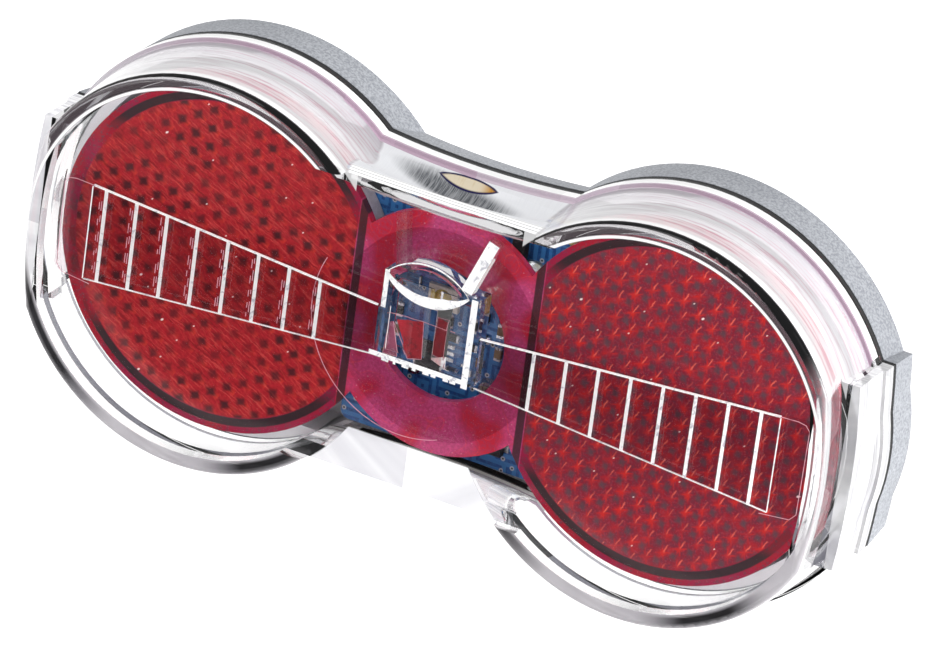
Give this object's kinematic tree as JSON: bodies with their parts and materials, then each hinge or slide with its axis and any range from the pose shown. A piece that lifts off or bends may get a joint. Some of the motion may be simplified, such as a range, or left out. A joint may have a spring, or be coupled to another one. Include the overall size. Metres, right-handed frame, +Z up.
{
  "type": "bicycle rack rear light",
  "caption": "Flat rear light for a bicycle's luggage rack: clear two-lobed cover, red reflector discs, a light guide bar across them and two studs behind.",
  "frame": {"origin": "midway between the two studs, on the plane where the rear pads meet the rack's plate", "axes": "+X across the lamp to the right as seen from in front, +Y out of the back along the studs, +Z up"},
  "size_m": [0.1014, 0.031, 0.0476],
  "materials": {
    "clear_pmma": "clear polished acrylic",
    "black_seal": "matt",
    "grey_abs": "fine-grained moulded",
    "red_pmma": "transparent red acrylic",
    "dark_backing": "moulded",
    "guide_pmma": "clear polished acrylic",
    "blue_board": "solder resist on glass fibre laminate",
    "led_body": "white moulded",
    "led_lens": "clear tinted silicone",
    "black_epoxy": "moulded",
    "tinned_metal": "tinned",
    "tan_ceramic": "fired ceramic",
    "capacitor_can": "satin",
    "screw_steel": "zinc plated",
    "tinned_brass": "tinned",
    "solder": "bright",
    "stud_steel": "zinc plated"
  },
  "bodies": {
    "root": {"clear_cover": "clear_pmma", "housing_seal": "black_seal", "rear_housing": "grey_abs", "reflector_plate": "red_pmma", "reflector_backing_right": "dark_backing", "reflector_backing_left": "dark_backing", "light_guide": "guide_pmma", "circuit_board": "blue_board", "led_package": "led_body", "led_dome": "led_lens", "controller_chip": "black_epoxy", "chip_leads": "tinned_metal", "chip_resistors": "black_epoxy", "resistor_end_caps": "tinned_metal", "ceramic_capacitors": "tan_ceramic", "capacitor_end_caps": "tinned_metal", "rectifier_diodes": "black_epoxy", "diode_tabs": "tinned_metal", "storage_capacitor": "capacitor_can", "capacitor_legs": "tinned_metal", "board_screw_right": "screw_steel", "board_screw_left": "screw_steel", "wide_plug_blade": "tinned_brass", "narrow_plug_blade": "tinned_brass", "blade_solder_joints": "solder", "stud_bolt_right": "stud_steel", "stud_bolt_left": "stud_steel"}
  },
  "joints": []
}
